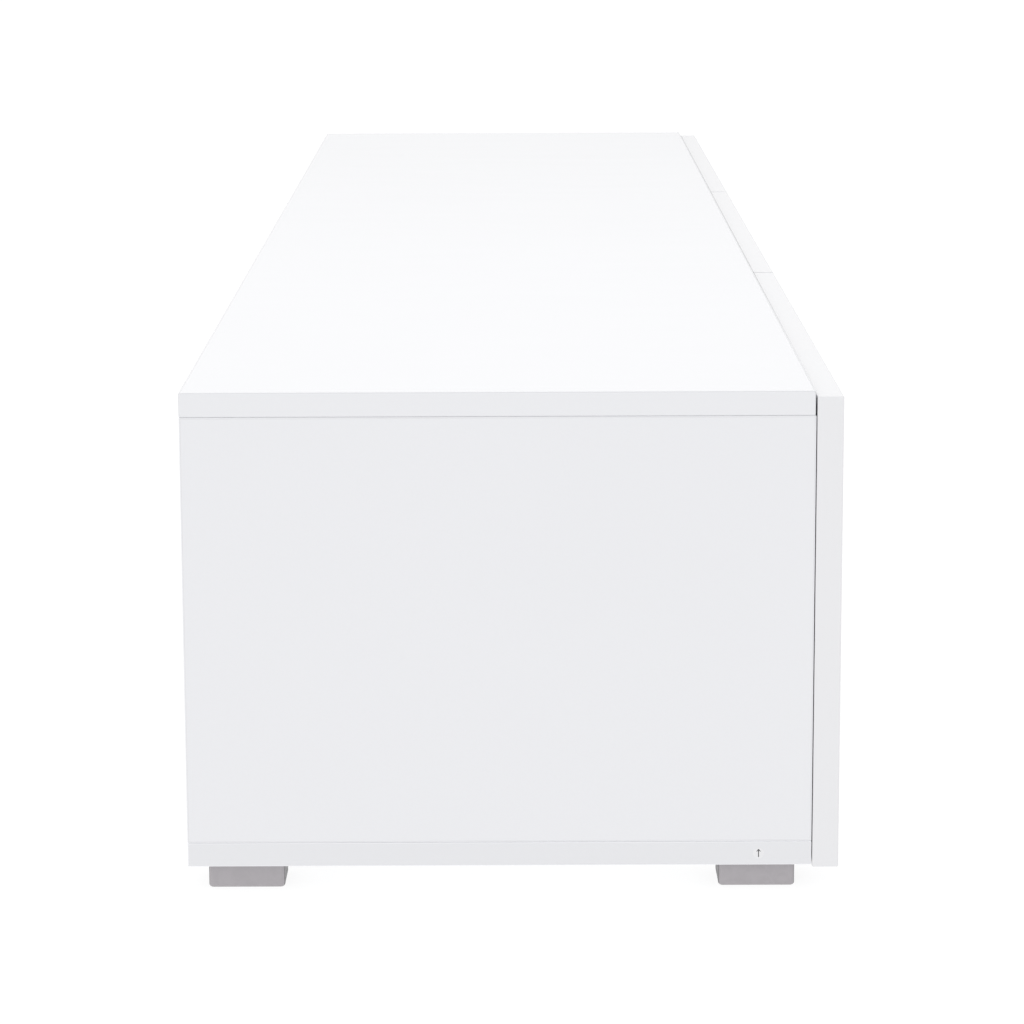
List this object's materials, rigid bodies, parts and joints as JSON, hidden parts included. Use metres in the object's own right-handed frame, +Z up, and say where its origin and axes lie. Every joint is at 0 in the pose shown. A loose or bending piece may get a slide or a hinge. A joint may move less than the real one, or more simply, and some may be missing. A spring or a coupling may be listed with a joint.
{
  "type": "tv stand with doors",
  "caption": "Long low white tv stand on small feet: flat-panel carcass with shelved compartments behind handleless doors on concealed hinges with push latches.",
  "frame": {"origin": "on the floor under the centre of the whole stand, doors included", "axes": "+X along the length, towards the right end as seen from the front; -Y towards the doors; +Z up"},
  "size_m": [1.6, 0.4, 0.312],
  "materials": {
    "panel_laminate": "white high-gloss laminate on 15 mm particleboard, thin edge bands",
    "door_laminate": "white high-gloss laminate on 16 mm particleboard",
    "shelf_laminate": "white satin laminate",
    "back_board": "white lacquered 3 mm hardboard, smooth inside and fibrous outside",
    "foot_plastic": "fine-textured grey moulded plastic",
    "hinge_steel": "nickel-plated pressed steel",
    "plate_zinc": "nickel-plated die-cast zinc",
    "cam_zinc": "dull zinc casting",
    "screw_steel": "zinc-plated steel",
    "dowel_wood": "raw fluted beech",
    "latch_plastic": "light grey moulded plastic",
    "plunger_plastic": "grey acetal with a soft tip",
    "bumper_gel": "clear soft polyurethane",
    "pin_nickel": "nickel-plated shelf support"
  },
  "bodies": {
    "carcass": {"top_panel": "panel_laminate", "bottom_panel": "panel_laminate", "left_side_panel": "panel_laminate", "right_side_panel": "panel_laminate", "left_divider": "panel_laminate", "right_divider": "panel_laminate", "back_panel_left": "back_board", "back_panel_middle": "back_board", "back_panel_right": "back_board", "back_nails": "screw_steel", "shelf_left": "shelf_laminate", "shelf_middle": "shelf_laminate", "shelf_right": "shelf_laminate", "shelf_pins": "pin_nickel", "cam_locks": "cam_zinc", "cam_bolts": "screw_steel", "dowels": "dowel_wood", "foot_left_front": "foot_plastic", "foot_left_rear": "foot_plastic", "foot_middle_front": "foot_plastic", "foot_middle_rear": "foot_plastic", "foot_right_front": "foot_plastic", "foot_right_rear": "foot_plastic", "foot_screws": "screw_steel", "latch_housings": "latch_plastic", "latch_screws": "screw_steel", "hinge_arms": "hinge_steel", "arm_pins": "screw_steel", "arm_screws": "screw_steel", "mounting_plates": "plate_zinc", "plate_screws": "screw_steel"},
    "outer_links_left": {"outer_links_left": "hinge_steel"},
    "door_left": {"door_left": "door_laminate", "hinge_cups_left": "hinge_steel", "cup_pins_left": "screw_steel", "cup_screws_left": "screw_steel", "bumpers_left": "bumper_gel"},
    "inner_links_left": {"inner_links_left": "hinge_steel"},
    "plunger_left": {"latch_plunger_left": "plunger_plastic"},
    "outer_links_middle": {"outer_links_middle": "hinge_steel"},
    "door_middle": {"door_middle": "door_laminate", "hinge_cups_middle": "hinge_steel", "cup_pins_middle": "screw_steel", "cup_screws_middle": "screw_steel", "bumpers_middle": "bumper_gel"},
    "inner_links_middle": {"inner_links_middle": "hinge_steel"},
    "plunger_middle": {"latch_plunger_middle": "plunger_plastic"},
    "outer_links_right": {"outer_links_right": "hinge_steel"},
    "door_right": {"door_right": "door_laminate", "hinge_cups_right": "hinge_steel", "cup_pins_right": "screw_steel", "cup_screws_right": "screw_steel", "bumpers_right": "bumper_gel"},
    "inner_links_right": {"inner_links_right": "hinge_steel"},
    "plunger_right": {"latch_plunger_right": "plunger_plastic"}
  },
  "joints": [
    {"name": "outer_link_swing_left", "type": "hinge", "parent": "carcass", "child": "outer_links_left", "pos_m": [-0.76046, -0.17977, 0.156], "axis": [0, 0, 1], "range_deg": [0, 41.6]},
    {"name": "door_swing_left", "type": "hinge", "parent": "outer_links_left", "child": "door_left", "pos_m": [-0.78621, -0.1863, 0.156], "axis": [0, 0, -1], "range_deg": [0, 131.4]},
    {"name": "inner_link_swing_left", "type": "hinge", "parent": "door_left", "child": "inner_links_left", "pos_m": [-0.78386, -0.1899, 0.156], "axis": [0, 0, 1], "range_deg": [0, 146.54]},
    {"name": "latch_press_left", "type": "slide", "parent": "carcass", "child": "plunger_left", "axis": [0, 1, 0], "range_m": [0, 0.0025], "stiffness_N_per_m": 400},
    {"name": "outer_link_swing_middle", "type": "hinge", "parent": "carcass", "child": "outer_links_middle", "pos_m": [-0.22613, -0.17977, 0.156], "axis": [0, 0, 1], "range_deg": [0, 41.6]},
    {"name": "door_swing_middle", "type": "hinge", "parent": "outer_links_middle", "child": "door_middle", "pos_m": [-0.25188, -0.1863, 0.156], "axis": [0, 0, -1], "range_deg": [0, 131.4]},
    {"name": "inner_link_swing_middle", "type": "hinge", "parent": "door_middle", "child": "inner_links_middle", "pos_m": [-0.24953, -0.1899, 0.156], "axis": [0, 0, 1], "range_deg": [0, 146.54]},
    {"name": "latch_press_middle", "type": "slide", "parent": "carcass", "child": "plunger_middle", "axis": [0, 1, 0], "range_m": [0, 0.0025], "stiffness_N_per_m": 400},
    {"name": "outer_link_swing_right", "type": "hinge", "parent": "carcass", "child": "outer_links_right", "pos_m": [0.76046, -0.17977, 0.156], "axis": [0, 0, -1], "range_deg": [0, 41.6]},
    {"name": "door_swing_right", "type": "hinge", "parent": "outer_links_right", "child": "door_right", "pos_m": [0.78621, -0.1863, 0.156], "axis": [0, 0, 1], "range_deg": [0, 131.4]},
    {"name": "inner_link_swing_right", "type": "hinge", "parent": "door_right", "child": "inner_links_right", "pos_m": [0.78386, -0.1899, 0.156], "axis": [0, 0, -1], "range_deg": [0, 146.54]},
    {"name": "latch_press_right", "type": "slide", "parent": "carcass", "child": "plunger_right", "axis": [0, 1, 0], "range_m": [0, 0.0025], "stiffness_N_per_m": 400}
  ],
  "couplings": [
    {"joint": "outer_link_swing_left", "follows": "door_swing_left", "ratio": 0.31507},
    {"joint": "inner_link_swing_left", "follows": "door_swing_left", "ratio": 1.1137},
    {"joint": "outer_link_swing_middle", "follows": "door_swing_middle", "ratio": 0.31507},
    {"joint": "inner_link_swing_middle", "follows": "door_swing_middle", "ratio": 1.1137},
    {"joint": "outer_link_swing_right", "follows": "door_swing_right", "ratio": 0.31507},
    {"joint": "inner_link_swing_right", "follows": "door_swing_right", "ratio": 1.1137}
  ]
}
